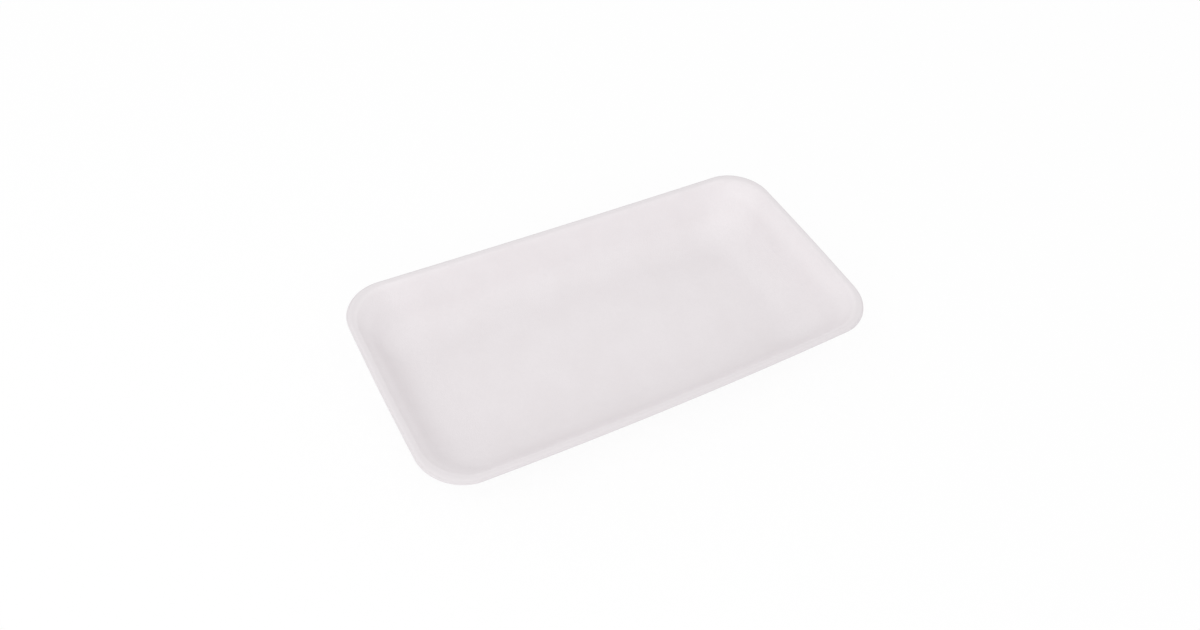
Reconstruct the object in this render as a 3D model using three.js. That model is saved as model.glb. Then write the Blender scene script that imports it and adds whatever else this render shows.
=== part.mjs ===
// Foam meat tray: one sheet of extruded polystyrene foam, thermoformed into a shallow dish
// with a flat floor, steep walls that scoop up out of it and a narrow lip rolled over at the rim.
//
// Units are millimetres and +Z is up. The tray stands on its base, with the origin at the
// centre of the base, +X along its length and +Y across it.
//
// One section of the sheet, drawn from the edge of the floor out over the lip and back under
// to the base, is swept round the plan of the tray. The underside repeats the form of the
// dish, and the foam thins up the wall to the lip, where the mould pressed it.

import * as THREE from "three";

// Size over the outer edge of the lip, and height of the rim at the ends of the tray.
const trayLength = 204;
const trayWidth = 104.8;
const trayHeight = 24.5;

// Foam sheet.
const sheetThickness = 3.5; // of the floor and the fillet
const lipThickness = 2; // of the lip, whose edge is rounded across its whole thickness

// Section of the wall, with radii on its upper face and angles in degrees.
const wallSlope = 57; // of the straight wall, above the level
const floorFillet = 20; // scoop from the floor up into the wall
const shoulderRadius = 3; // roll of the rim, from the wall over into the lip
const lipDroop = 5; // how far the lip turns down past the level

// Plan of the tray.
const rimCorner = 18; // corner radius at the edge of the lip
const floorCorner = 14; // corner radius at the edge of the floor
const endBow = 0.8; // how far the middle of an end stands out past its corners
const sideBow = 1.1; // the same for a long side
const rimDip = 2; // how far the rim sags at the middle of a long side

// Fineness of the faceted surface.
const sectionError = 0.02; // most that a facet may cut inside an arc of the section
const cornerSteps = 16; // facets round each corner of the plan
const sideSteps = 12; // facets along each long side
const endSteps = 6; // facets along each end

// Arc of the section about a centre, from one angle to another in radians.
function arc(centre, radius, start, end) {
  return new THREE.EllipseCurve(centre.x, centre.y, radius, radius, start, end, start > end);
}

// Section of the foam sheet, in a plane that stands across the wall. Its first coordinate is
// the distance outwards from the edge of the floor, and its second is the height. The arcs
// run up the dish face, round the edge of the lip and back along the underside, and the
// straight parts of the wall are the gaps between them. Both straights are common tangents of
// the fillet and the shoulder, so the underside, with the thinner lip, stands the steeper.
function sheetSection() {
  const up = Math.PI / 2;
  const wall = THREE.MathUtils.degToRad(wallSlope);
  const droop = THREE.MathUtils.degToRad(lipDroop);

  const fillet = new THREE.Vector2(0, sheetThickness + floorFillet);
  const shoulder = new THREE.Vector2(0, trayHeight - shoulderRadius);
  const wallRise = shoulder.y - fillet.y + (shoulderRadius + floorFillet) * Math.cos(wall);
  shoulder.x = (floorFillet + shoulderRadius) * Math.sin(wall) + wallRise / Math.tan(wall);

  const centres = shoulder.clone().sub(fillet);
  const outerRadii = floorFillet + sheetThickness + shoulderRadius - lipThickness;
  const centreLine = Math.atan2(centres.y, centres.x);
  const underWall = up + centreLine - Math.acos(outerRadii / centres.length());

  const edgeRadius = lipThickness / 2;
  const edgeArm = new THREE.Vector2(shoulderRadius - edgeRadius, 0);
  const edge = edgeArm.rotateAround(new THREE.Vector2(), up - droop).add(shoulder);

  const arcs = [
    arc(fillet, floorFillet, -up, wall - up),
    arc(shoulder, shoulderRadius, up + wall, up),
    arc(shoulder, shoulderRadius, up, up - droop),
    arc(edge, edgeRadius, up - droop, 0),
    arc(edge, edgeRadius, 0, -up - droop),
    arc(shoulder, shoulderRadius - lipThickness, up - droop, up + underWall),
    arc(fillet, floorFillet + sheetThickness, underWall - up, -up),
  ];
  return { points: arcs.flatMap(arcPoints), reach: edge.x + edgeRadius };
}

// Points along an arc, close enough together for its facets. An arc that runs on from the
// one before it leaves out its first point.
function arcPoints(curve, k, arcs) {
  const sweep = Math.abs(curve.aEndAngle - curve.aStartAngle);
  const facet = 2 * Math.acos(1 - sectionError / curve.xRadius);
  const points = curve.getPoints(Math.ceil(sweep / facet));
  const joined = k > 0 && arcs[k - 1].getPoint(1).distanceTo(points[0]) < sectionError;
  return joined ? points.slice(1) : points;
}

// Plan outline of the tray at a distance inside the edge of the lip, anticlockwise. Every
// outline has the same number of points, so that outlines can be joined one to the next.
function planOutline(inset, cornerRadius) {
  const halfLength = trayLength / 2 - endBow - inset;
  const halfWidth = trayWidth / 2 - sideBow - inset;
  const x = halfLength - cornerRadius;
  const y = halfWidth - cornerRadius;
  const quarter = Math.PI / 2;
  const side = (...ends) => new THREE.LineCurve(...ends.map((end) => new THREE.Vector2(...end)));
  const corner = (cx, cy, turn) =>
    arc({ x: cx, y: cy }, cornerRadius, turn * quarter, (turn + 1) * quarter);

  const parts = [
    [side([halfLength, -y], [halfLength, y]), endSteps],
    [corner(x, y, 0), cornerSteps],
    [side([x, halfWidth], [-x, halfWidth]), sideSteps],
    [corner(-x, y, 1), cornerSteps],
    [side([-halfLength, y], [-halfLength, -y]), endSteps],
    [corner(-x, -y, 2), cornerSteps],
    [side([-x, -halfWidth], [x, -halfWidth]), sideSteps],
    [corner(x, -y, 3), cornerSteps],
  ];
  return parts.flatMap(([curve, steps]) => curve.getPoints(steps).slice(1).map(bowed));
}

// Pushes a point of the plan outwards, most at the middle of each side and not at the corners.
function bowed(point) {
  const along = point.x / (trayLength / 2 - endBow);
  const across = point.y / (trayWidth / 2 - sideBow);
  return new THREE.Vector2(
    point.x + endBow * along * (1 - across ** 2),
    point.y + sideBow * across * (1 - along ** 2),
  );
}

// One closed ring of the surface: the plan outline that runs through a point of the section.
// The ring sags towards the middle of the long sides, more the nearer it is to the lip.
function surfaceRing(sectionPoint, reach) {
  const inset = reach - sectionPoint.x;
  const share = THREE.MathUtils.clamp(sectionPoint.x / reach, 0, 1);
  const cornerRadius = THREE.MathUtils.lerp(floorCorner, rimCorner, share);
  const sag = rimDip * THREE.MathUtils.smoothstep(share, 0, 1);
  return planOutline(inset, cornerRadius).map((point) => {
    const along = point.x / (trayLength / 2 - inset);
    const height = sectionPoint.y - sag * (1 - along ** 2);
    return new THREE.Vector3(point.x, point.y, height);
  });
}

// Closed shell through a series of rings, with the first and the last filled in flat.
function loftedShell(rings) {
  const count = rings[0].length;
  const last = (rings.length - 1) * count;
  const triangles = [];
  for (let start = 0; start < last; start += count) {
    for (let i = 0; i < count; i++) {
      const [a, b] = [start + i, start + ((i + 1) % count)];
      const [c, d] = [a + count, b + count];
      triangles.push(a, c, b, b, c, d);
    }
  }
  const flat = rings[0].map((point) => new THREE.Vector2(point.x, point.y));
  for (const [a, b, c] of THREE.ShapeUtils.triangulateShape(flat, [])) {
    triangles.push(a, b, c, last + a, last + c, last + b);
  }
  const geometry = new THREE.BufferGeometry().setFromPoints(rings.flat());
  geometry.setIndex(triangles);
  geometry.computeVertexNormals();
  return geometry;
}

function foamTray() {
  const { points, reach } = sheetSection();
  const rings = points.map((point) => surfaceRing(point, reach));
  const whiteFoam = new THREE.MeshStandardMaterial({
    color: 0xe8e3e5,
    roughness: 0.55,
    metalness: 0,
  });
  const tray = new THREE.Mesh(loftedShell(rings), whiteFoam);
  tray.name = "tray";
  return tray;
}

const meatTray = new THREE.Group();
meatTray.add(foamTray());

export default meatTray;
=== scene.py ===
"""Foam meat tray on a white floor, seen from the front left and above."""

import math
import bmesh
import bpy
from mathutils import Matrix, Vector


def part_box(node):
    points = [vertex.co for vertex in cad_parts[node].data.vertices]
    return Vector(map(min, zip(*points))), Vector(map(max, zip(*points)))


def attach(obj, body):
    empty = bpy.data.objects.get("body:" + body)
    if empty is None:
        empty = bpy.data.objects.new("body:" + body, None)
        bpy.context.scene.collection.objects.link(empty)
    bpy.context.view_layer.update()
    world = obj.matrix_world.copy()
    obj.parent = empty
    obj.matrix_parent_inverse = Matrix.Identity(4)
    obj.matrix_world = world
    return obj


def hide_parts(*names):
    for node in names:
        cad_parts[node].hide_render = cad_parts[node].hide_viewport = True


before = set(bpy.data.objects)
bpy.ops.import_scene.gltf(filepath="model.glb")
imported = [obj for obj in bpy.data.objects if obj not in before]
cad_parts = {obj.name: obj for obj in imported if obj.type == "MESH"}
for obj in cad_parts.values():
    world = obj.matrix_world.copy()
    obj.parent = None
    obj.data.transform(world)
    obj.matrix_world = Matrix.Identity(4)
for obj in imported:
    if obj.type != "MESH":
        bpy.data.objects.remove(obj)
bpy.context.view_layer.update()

MM = 0.001
WHITE = (1, 1, 1, 1)

# The tray's own measures, in metres. The overall size comes from the frame.
SHEET = 3.5 * MM
LIP = 2 * MM
WALL_SLOPE = math.radians(57)
FLOOR_FILLET = 20 * MM
SHOULDER_RADIUS = 3 * MM
LIP_DROOP = math.radians(5)
RIM_CORNER = 18 * MM
FLOOR_CORNER = 14 * MM
END_BOW = 0.8 * MM
SIDE_BOW = 1.1 * MM
RIM_DIP = 2 * MM

# Fineness of the tray's mesh. The floor's rings are shares of its outline.
SECTION_STEP = 0.35 * MM
ARC_STEPS_LEAST = 3
CORNER_STEPS = 40
SIDE_STEPS = 56
END_STEPS = 28
FLOOR_RINGS = (0.35, 0.7, 0.97)

# Camera, from the photograph: angles in degrees, distances in metres, lens in millimetres.
AZIMUTH = 35.96
ELEVATION = 48.93
ROLL = -8.99
DISTANCE = 407.7 * MM
TRAY_RIGHT = 6.2 * MM
TRAY_UP = 3.5 * MM
RIM_LEVEL = 23.5 * MM
LENS = 29.63
CLIP_START = 10 * MM

# Light: the white room all round, broad lamps far off (azimuth off +X, elevation, spread and
# strength) and two softboxes close by on the left (azimuth, elevation and watts).
ROOM_LIGHT = 0.82
BROAD_LAMPS = (
    ("front_lamp", 270, 45, 60, 0.26),
    ("front_low_lamp", 247, 15, 50, 0.21),
    ("left_low_lamp", 202, 15, 50, 0.22),
    ("back_low_lamp", 112, 15, 50, 0.23),
    ("right_low_lamp", 22, 15, 50, 0.13),
)
SOFTBOX_DISTANCE = 0.5
SOFTBOX_SIZE = 0.35
SOFTBOXES = (
    ("left_softbox", 180, 50, 0.13),
    ("front_left_softbox", 225, 50, 0.15),
)

# Floor: just under the tray, and so white to the camera that only a faint shadow stays. Rays
# shorter than the contact pass through it, so that light reaches the base of the tray.
FLOOR_SIZE = 6
FLOOR_GAP = 0.05 * MM
FLOOR_COLOUR = (0.95, 0.95, 0.95, 1)
FLOOR_ROUGHNESS = 0.9
FLOOR_SHEEN = 0.1
FLOOR_WHITENESS = 0.9
CONTACT = 0.3 * MM

# Foam colours: the plain skin between two tones, a painted highlight, the darkest of the cells,
# painted shade on the lip and darker painted shade on its cut edge.
FOAM_WARM = (0.799, 0.759, 0.773, 1)
FOAM_PALE = (0.815, 0.777, 0.792, 1)
FOAM_PAINTED_HIGHLIGHT = (0.842, 0.805, 0.820, 1)
FOAM_CELL = (0.77, 0.735, 0.752, 1)
LIP_PAINTED_SHADE = (0.765, 0.728, 0.743, 1)
CUT_EDGE_PAINTED_SHADE = (0.74, 0.704, 0.72, 1)

# Foam grain: sizes of its patterns, how far in the wall of a cell reaches as a share of the
# cell, how far cells may go towards their darkest, and the range of the mottling over which the
# skin goes from one tone to the other.
CELL = 0.7 * MM
SKIN_GRAIN = 0.35 * MM
MOTTLE = 14 * MM
WAVES = 18 * MM
CELL_WALL = 0.22
CELL_CONTRAST = 0.3
MOTTLE_RANGE = (0.3, 0.7)

# Foam gloss.
FOAM_ROUGHNESS = (0.36, 0.6)
CUT_ROUGHNESS = 0.8
FOAM_SHEEN = 0.4

# Foam relief: strength and height of each pattern. The open cells of the cut edge go inwards.
WAVE_RELIEF = (1.0, 0.12 * MM)
CELL_RELIEF = (0.5, 0.04 * MM)
SKIN_RELIEF = (0.35, 0.03 * MM)
CUT_RELIEF = (0.8, -0.35 * MM)

# How far in from the edge of the lip its cut edge, which carries painted shade, and the painted
# shade on its top go. Each fades between two shares of its width: it is gone at the first and full
# at the second.
CUT_WIDTH = 1.1 * MM
CUT_FADE = (1, 0.4)
LIP_WIDTH = 2.4 * MM
LIP_FADE = (1.3, 0.8)

# Where a painted highlight pales the foam: the shoulder and fillet of each end, and the corners of
# the floor. Distances are in from the edge of the lip, with how far each reaches.
PALE_SHOULDER = 6 * MM
PALE_SHOULDER_REACH = 3.5 * MM
PALE_FILLET = 24 * MM
PALE_FILLET_REACH = 12 * MM
PALE_FILLET_SHARE = 0.7
PALE_CORNER = (24 * MM, 20 * MM)
PALE_CORNER_REACH = 20 * MM


def node_size(node):
    low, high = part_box(node)
    return Vector(high) - Vector(low)


def smoothstep(share):
    return share * share * (3 - 2 * share)


def arc(centre, radius, start, end):
    """Points along an arc of the section, both ends included."""
    steps = max(ARC_STEPS_LEAST, math.ceil(abs(end - start) * radius / SECTION_STEP))
    angles = [start + (end - start) * i / steps for i in range(steps + 1)]
    return [(centre[0] + radius * math.cos(a), centre[1] + radius * math.sin(a)) for a in angles]


def straight(start, following):
    """The points of the straight wall between two arcs, and the second arc after them."""
    gap = math.dist(start, following[0])
    steps = max(1, math.ceil(gap / SECTION_STEP))
    between = []
    for i in range(1, steps):
        t = i / steps
        between.append(tuple(a + (b - a) * t for a, b in zip(start, following[0])))
    return between + following


def underside_slope(fillet, shoulder):
    """Slope of the underside of the wall, steeper than the upper face as the foam thins."""
    run = shoulder[0] - fillet[0]
    rise = shoulder[1] - fillet[1]
    radii = FLOOR_FILLET + SHEET + SHOULDER_RADIUS - LIP
    return math.pi / 2 + math.atan2(rise, run) - math.acos(radii / math.hypot(run, rise))


def sheet_section(height):
    """Section of the sheet from the floor's edge over the lip and back under, and its reach."""
    up = math.pi / 2
    both_radii = FLOOR_FILLET + SHOULDER_RADIUS
    fillet = (0.0, SHEET + FLOOR_FILLET)
    shoulder_z = height - SHOULDER_RADIUS
    rise = shoulder_z - fillet[1] + both_radii * math.cos(WALL_SLOPE)
    shoulder_x = both_radii * math.sin(WALL_SLOPE) + rise / math.tan(WALL_SLOPE)
    shoulder = (shoulder_x, shoulder_z)
    under_slope = underside_slope(fillet, shoulder)
    edge_radius = LIP / 2
    arm = SHOULDER_RADIUS - edge_radius
    edge = (shoulder_x + arm * math.sin(LIP_DROOP), shoulder_z + arm * math.cos(LIP_DROOP))
    points = arc(fillet, FLOOR_FILLET, -up, WALL_SLOPE - up)
    points += straight(points[-1], arc(shoulder, SHOULDER_RADIUS, up + WALL_SLOPE, up - LIP_DROOP))
    points += arc(edge, edge_radius, up - LIP_DROOP, -up - LIP_DROOP)[1:]
    points += arc(shoulder, SHOULDER_RADIUS - LIP, up - LIP_DROOP, up + under_slope)[1:]
    points += straight(points[-1], arc(fillet, FLOOR_FILLET + SHEET, under_slope - up, -up))
    return points, edge[0] + edge_radius


def plan_outline(size, inset, corner_radius):
    """Plan of the tray at a distance inside the edge of the lip, anticlockwise."""
    half_length = size.x / 2 - END_BOW - inset
    half_width = size.y / 2 - SIDE_BOW - inset
    x = half_length - corner_radius
    y = half_width - corner_radius
    outline = []

    def side(a, b, steps):
        for i in range(steps):
            t = i / steps
            outline.append((a[0] + (b[0] - a[0]) * t, a[1] + (b[1] - a[1]) * t))

    def corner(cx, cy, turn):
        for i in range(CORNER_STEPS):
            angle = (turn + i / CORNER_STEPS) * math.pi / 2
            across, along = math.cos(angle), math.sin(angle)
            outline.append((cx + corner_radius * across, cy + corner_radius * along))

    side((half_length, -y), (half_length, y), END_STEPS)
    corner(x, y, 0)
    side((x, half_width), (-x, half_width), SIDE_STEPS)
    corner(-x, y, 1)
    side((-half_length, y), (-half_length, -y), END_STEPS)
    corner(-x, -y, 2)
    side((-x, -half_width), (x, -half_width), SIDE_STEPS)
    corner(x, -y, 3)
    return [bowed(size, point) for point in outline]


def bowed(size, point):
    """A point of the plan pushed outwards, most at the middle of each side."""
    along = point[0] / (size.x / 2 - END_BOW)
    across = point[1] / (size.y / 2 - SIDE_BOW)
    return (
        point[0] + END_BOW * along * (1 - across**2),
        point[1] + SIDE_BOW * across * (1 - along**2),
    )


def surface_ring(size, section_point, reach):
    """The ring of the surface that runs through a point of the section, sagging at the sides."""
    distance, height = section_point
    inset = reach - distance
    share = min(max(distance / reach, 0.0), 1.0)
    corner_radius = FLOOR_CORNER + (RIM_CORNER - FLOOR_CORNER) * share
    sag = RIM_DIP * smoothstep(share)
    ring = []
    for x, y in plan_outline(size, inset, corner_radius):
        along = x / (size.x / 2 - inset)
        ring.append(Vector((x, y, height - sag * (1 - along**2))))
    return ring


def peak(value, centre, reach):
    """1 at the centre, falling smoothly to 0 at the given reach either side."""
    return smoothstep(max(0.0, 1 - abs(value - centre) / reach))


def painted_highlight_share(size, point, inset):
    """How strongly a painted highlight pales the foam at a point of the mesh, from 0 to 1."""
    from_end = size.x / 2 - abs(point.x)
    from_side = size.y / 2 - abs(point.y)
    at_end = math.sqrt(peak(from_end, 0.0, PALE_FILLET))
    shoulder = peak(inset, PALE_SHOULDER, PALE_SHOULDER_REACH) * at_end
    fillet = PALE_FILLET_SHARE * peak(from_end, PALE_FILLET, PALE_FILLET_REACH)
    from_corner = math.hypot(from_end - PALE_CORNER[0], from_side - PALE_CORNER[1])
    return max(shoulder, fillet, peak(from_corner, 0.0, PALE_CORNER_REACH))


def tray_mesh(size):
    """Closed skin of the tray, with each point's distance in from the lip and the strength of its
    painted highlight.
    """
    section, reach = sheet_section(size.z)
    rings = [surface_ring(size, point, reach) for point in section]
    flat = rings[0]
    inner = [[Vector((p.x * k, p.y * k, p.z)) for p in flat] for k in FLOOR_RINGS]
    under = [[Vector((p.x * k, p.y * k, 0.0)) for p in flat] for k in reversed(FLOOR_RINGS)]
    rings = inner + rings + under
    insets = [reach - distance for distance, _ in section]
    insets = [reach] * len(inner) + insets + [reach] * len(under)

    mesh = bmesh.new()
    rows = [[mesh.verts.new(p) for p in ring] for ring in rings]
    for low, high in zip(rows, rows[1:]):
        for i, vertex in enumerate(low):
            j = (i + 1) % len(low)
            mesh.faces.new((vertex, high[i], high[j], low[j]))
    mesh.faces.new(rows[0])
    mesh.faces.new(list(reversed(rows[-1])))
    for face in mesh.faces:
        face.smooth = True
    bmesh.ops.recalc_face_normals(mesh, faces=mesh.faces)
    data = bpy.data.meshes.new("tray_foam")
    mesh.to_mesh(data)
    mesh.free()
    inward = data.attributes.new("inward", "FLOAT", "POINT")
    inward.data.foreach_set("value", [inset for inset in insets for _ in flat])
    # Strength of the painted highlight at each point.
    painted_highlight = data.attributes.new("painted_highlight", "FLOAT", "POINT")
    painted_highlight.data.foreach_set(
        "value", [painted_highlight_share(size, p, inset) for ring, inset in zip(rings, insets) for p in ring]
    )
    return data


class Nodes:
    """Adds nodes to a material or the world and joins them up."""

    def __init__(self, owner):
        owner.use_nodes = True
        self.tree = owner.node_tree

    def __getitem__(self, name):
        return self.tree.nodes[name]

    def add(self, kind, output, sockets=None, **settings):
        """One output of a new node with the given inputs and settings."""
        node = self.tree.nodes.new("ShaderNode" + kind)
        for name, value in settings.items():
            setattr(node, name, value)
        for name, value in (sockets or {}).items():
            self.put(node, name, value)
        return node.outputs[output]

    def put(self, node, name, value):
        if isinstance(value, bpy.types.NodeSocket):
            self.tree.links.new(value, node.inputs[name])
        else:
            node.inputs[name].default_value = value

    def math(self, operation, a, b):
        return self.add("Math", 0, {0: a, 1: b}, operation=operation)

    def noise(self, place, grain, detail):
        return self.add("TexNoise", "Fac", {"Vector": place, "Scale": 1 / grain, "Detail": detail})

    def cells(self, place, output, feature="F1"):
        return self.add("TexVoronoi", output, {"Vector": place, "Scale": 1 / CELL}, feature=feature)

    def ramp(self, value, start, end):
        """0 where the value is at start, 1 where it is at end, and smooth between."""
        sockets = {"Value": value, "From Min": start, "From Max": end}
        return self.add("MapRange", "Result", sockets, interpolation_type="SMOOTHSTEP")

    def span(self, value, low, high):
        """The value from 0 to 1 taken to the range from low to high."""
        return self.add("MapRange", "Result", {"Value": value, "To Min": low, "To Max": high})

    def blend(self, share, plain, other):
        return self.add("Mix", 0, {0: share, 2: plain, 3: other})

    def tint(self, share, plain, other):
        return self.add("Mix", 2, {0: share, 6: plain, 7: other}, data_type="RGBA")

    def mix_shaders(self, share, plain, other):
        return self.add("MixShader", 0, {0: share, 1: plain, 2: other})

    def bump(self, height, relief, over=None):
        strength, distance = relief
        sockets = {"Height": height, "Strength": strength, "Distance": distance}
        if over is not None:
            sockets["Normal"] = over
        return self.add("Bump", "Normal", sockets)

    def sees_white(self):
        """1 for the rays that see the ground as pure white, from the camera, gloss or glass."""
        seen = self.add("LightPath", "Is Camera Ray")
        for kind in ("Is Glossy Ray", "Is Transmission Ray"):
            seen = self.math("MAXIMUM", seen, self.add("LightPath", kind))
        return seen


def foam_material():
    """Closed skin of white foam: fine cells, soft mottling, painted highlights, painted shade on
    the lip, and open cells on the cut edge under painted shade.
    """
    material = bpy.data.materials.new("white_foam")
    nodes = Nodes(material)
    shader = nodes["Principled BSDF"]
    place = nodes.add("TexCoord", "Object")
    inward = nodes.add("Attribute", "Fac", attribute_name="inward")
    painted_highlight = nodes.add("Attribute", "Fac", attribute_name="painted_highlight")
    cut = nodes.ramp(inward, *(CUT_WIDTH * share for share in CUT_FADE))
    # Mask of the painted shade over the top of the lip.
    lip_shade_mask = nodes.ramp(inward, *(LIP_WIDTH * share for share in LIP_FADE))

    from_wall = nodes.cells(place, "Distance", "DISTANCE_TO_EDGE")
    cell_shade = nodes.cells(place, "Color")
    skin = nodes.noise(place, SKIN_GRAIN, detail=3)
    mottle = nodes.noise(place, MOTTLE, detail=4)
    waves = nodes.noise(place, WAVES, detail=1)

    colour = nodes.tint(nodes.ramp(mottle, *MOTTLE_RANGE), FOAM_WARM, FOAM_PALE)
    # Painted highlight: paler foam on the shoulders and fillets of the ends and in the floor's
    # corners.
    colour = nodes.tint(painted_highlight, colour, FOAM_PAINTED_HIGHLIGHT)
    cell_tint = nodes.math("MULTIPLY", cell_shade, CELL_CONTRAST)
    colour = nodes.tint(cell_tint, colour, FOAM_CELL)
    # Painted shade over the top of the lip.
    colour = nodes.tint(lip_shade_mask, colour, LIP_PAINTED_SHADE)
    # Painted shade on the cut edge, darker still than on the lip.
    colour = nodes.tint(cut, colour, CUT_EDGE_PAINTED_SHADE)
    nodes.put(shader, "Base Color", colour)

    rough = nodes.span(nodes.math("MULTIPLY", skin, mottle), *FOAM_ROUGHNESS)
    rough = nodes.blend(painted_highlight, rough, FOAM_ROUGHNESS[0])
    nodes.put(shader, "Roughness", nodes.blend(cut, rough, CUT_ROUGHNESS))
    nodes.put(shader, "Specular IOR Level", FOAM_SHEEN)

    relief = nodes.bump(waves, WAVE_RELIEF)
    relief = nodes.bump(nodes.ramp(from_wall, 0.0, CELL_WALL), CELL_RELIEF, relief)
    relief = nodes.bump(skin, SKIN_RELIEF, relief)
    relief = nodes.bump(nodes.math("MULTIPLY", from_wall, cut), CUT_RELIEF, relief)
    nodes.put(shader, "Normal", relief)
    return material


def place_camera():
    """Camera at the photograph's viewpoint, rolled about its line of sight."""
    azimuth, elevation, roll = (math.radians(a) for a in (AZIMUTH, ELEVATION, ROLL))
    back = Vector((
        -math.sin(azimuth) * math.cos(elevation),
        -math.cos(azimuth) * math.cos(elevation),
        math.sin(elevation),
    ))
    level_right = Vector((math.cos(azimuth), -math.sin(azimuth), 0))
    level_up = back.cross(level_right)
    right = level_right * math.cos(roll) - level_up * math.sin(roll)
    up = back.cross(right)
    target = Vector((0, 0, RIM_LEVEL)) - right * TRAY_RIGHT - up * TRAY_UP
    data = bpy.data.cameras.new("camera")
    data.lens = LENS
    data.clip_start = CLIP_START
    camera = bpy.data.objects.new("camera", data)
    bpy.context.scene.collection.objects.link(camera)
    turn = Matrix((right, up, back)).transposed().to_4x4()
    camera.matrix_world = Matrix.Translation(target + back * DISTANCE) @ turn
    bpy.context.scene.camera = camera


def toward(azimuth, elevation):
    """Direction from the tray to a lamp, from its bearing off +X and its height, in degrees."""
    azimuth, elevation = math.radians(azimuth), math.radians(elevation)
    return Vector((
        math.cos(azimuth) * math.cos(elevation),
        math.sin(azimuth) * math.cos(elevation),
        math.sin(elevation),
    ))


def place_lamp(name, kind, azimuth, elevation, strength):
    data = bpy.data.lights.new(name, kind)
    data.energy = strength
    lamp = bpy.data.objects.new(name, data)
    direction = toward(azimuth, elevation)
    lamp.location = direction * SOFTBOX_DISTANCE
    lamp.rotation_euler = direction.to_track_quat("Z", "Y").to_euler()
    bpy.context.scene.collection.objects.link(lamp)
    return data


def light_scene():
    """Soft white room, which the camera sees as pure white, with the lamps around it."""
    world = bpy.data.worlds.new("studio")
    bpy.context.scene.world = world
    nodes = Nodes(world)
    soft = nodes["Background"]
    nodes.put(soft, "Color", WHITE)
    nodes.put(soft, "Strength", ROOM_LIGHT)
    white = nodes.add("Background", 0, {"Color": WHITE, "Strength": 1})
    seen = nodes.mix_shaders(nodes.sees_white(), soft.outputs[0], white)
    nodes.put(nodes["World Output"], "Surface", seen)
    for name, azimuth, elevation, spread, strength in BROAD_LAMPS:
        place_lamp(name, "SUN", azimuth, elevation, strength).angle = math.radians(spread)
    for name, azimuth, elevation, watts in SOFTBOXES:
        softbox = place_lamp(name, "AREA", azimuth, elevation, watts)
        softbox.shape = "DISK"
        softbox.size = SOFTBOX_SIZE


def place_floor():
    """White floor that clears away from below and where the tray's base stands on it."""
    bpy.ops.mesh.primitive_plane_add(size=FLOOR_SIZE, location=(0, 0, -FLOOR_GAP))
    floor = bpy.context.object
    floor.name = "floor"
    material = bpy.data.materials.new("white_floor")
    nodes = Nodes(material)
    shader = nodes["Principled BSDF"]
    nodes.put(shader, "Base Color", FLOOR_COLOUR)
    nodes.put(shader, "Roughness", FLOOR_ROUGHNESS)
    nodes.put(shader, "Specular IOR Level", FLOOR_SHEEN)
    white = nodes.add("Emission", 0, {"Strength": 1})
    whiteness = nodes.math("MULTIPLY", nodes.sees_white(), FLOOR_WHITENESS)
    ground = nodes.mix_shaders(whiteness, shader.outputs[0], white)
    near = nodes.math("LESS_THAN", nodes.add("LightPath", "Ray Length"), CONTACT)
    cleared = nodes.math("MAXIMUM", nodes.add("NewGeometry", "Backfacing"), near)
    clear = nodes.add("BsdfTransparent", 0)
    nodes.put(nodes["Material Output"], "Surface", nodes.mix_shaders(cleared, ground, clear))
    floor.data.materials.append(material)


def place_tray():
    tray = bpy.data.objects.new("tray_foam", tray_mesh(node_size("tray")))
    bpy.context.scene.collection.objects.link(tray)
    tray.data.materials.append(foam_material())
    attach(tray, "root")
    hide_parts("tray")


place_camera()
place_tray()
light_scene()
place_floor()
bpy.context.scene.view_settings.view_transform = "Standard"

bpy.context.view_layer.update()
